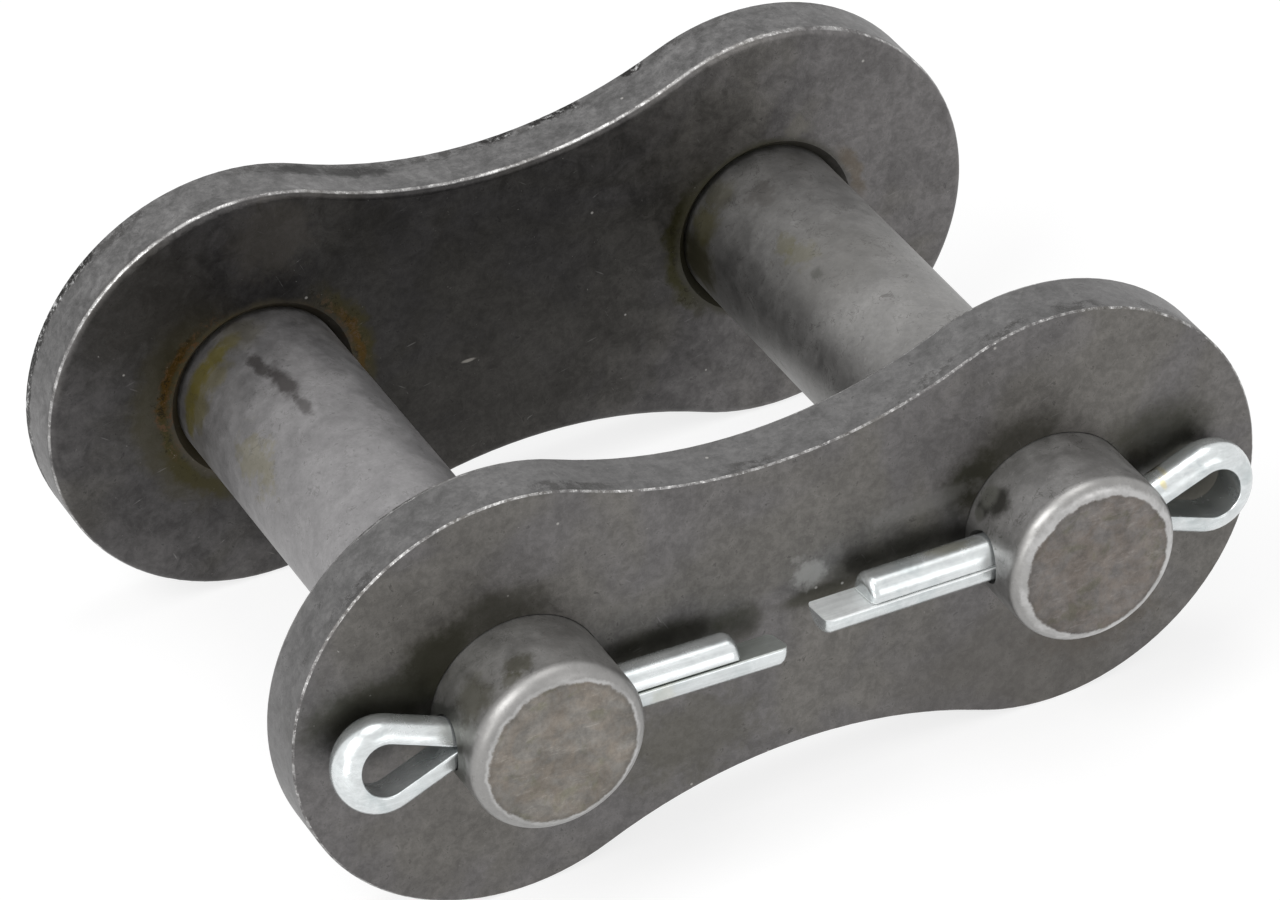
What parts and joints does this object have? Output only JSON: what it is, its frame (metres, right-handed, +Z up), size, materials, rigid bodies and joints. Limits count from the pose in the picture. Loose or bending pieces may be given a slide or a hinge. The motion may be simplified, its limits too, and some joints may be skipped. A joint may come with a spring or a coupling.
{
  "type": "roller chain connecting link",
  "caption": "Roller chain connecting link: back plate with riveted pins, slip-fit cover plate held on by split cotters.",
  "frame": {"origin": "under the middle of the link, halfway between its pins and halfway along its depth, on the surface that its plates stand on", "axes": "+X along the link from the left pin to the right pin, +Y along the pins from the cover plate to the back plate, +Z up across the plates"},
  "size_m": [0.0576, 0.0434, 0.0252],
  "materials": {
    "plate_steel": "blanked and hardened steel, matte dark grey-brown, thinly oiled",
    "pin_steel": "turned and hardened steel, dull grey-brown with a soft sheen",
    "cotter_wire": "half-round steel wire, bright zinc plated"
  },
  "bodies": {
    "link": {"back_plate": "plate_steel", "left_pin": "pin_steel", "right_pin": "pin_steel"},
    "cover": {"cover_plate": "plate_steel"},
    "left_cotter": {"left_cotter": "cotter_wire"},
    "right_cotter": {"right_cotter": "cotter_wire"}
  },
  "joints": [
    {"name": "cover_slide", "type": "slide", "parent": "link", "child": "cover", "axis": [0, -1, 0], "range_m": [-0.02925, 0.00015]},
    {"name": "left_cotter_pull", "type": "slide", "parent": "link", "child": "left_cotter", "axis": [-0.9992, 0, 0.0401], "range_m": [0, 0.0205]},
    {"name": "right_cotter_pull", "type": "slide", "parent": "link", "child": "right_cotter", "axis": [0.9997, 0, -0.0244], "range_m": [0, 0.0205]}
  ]
}
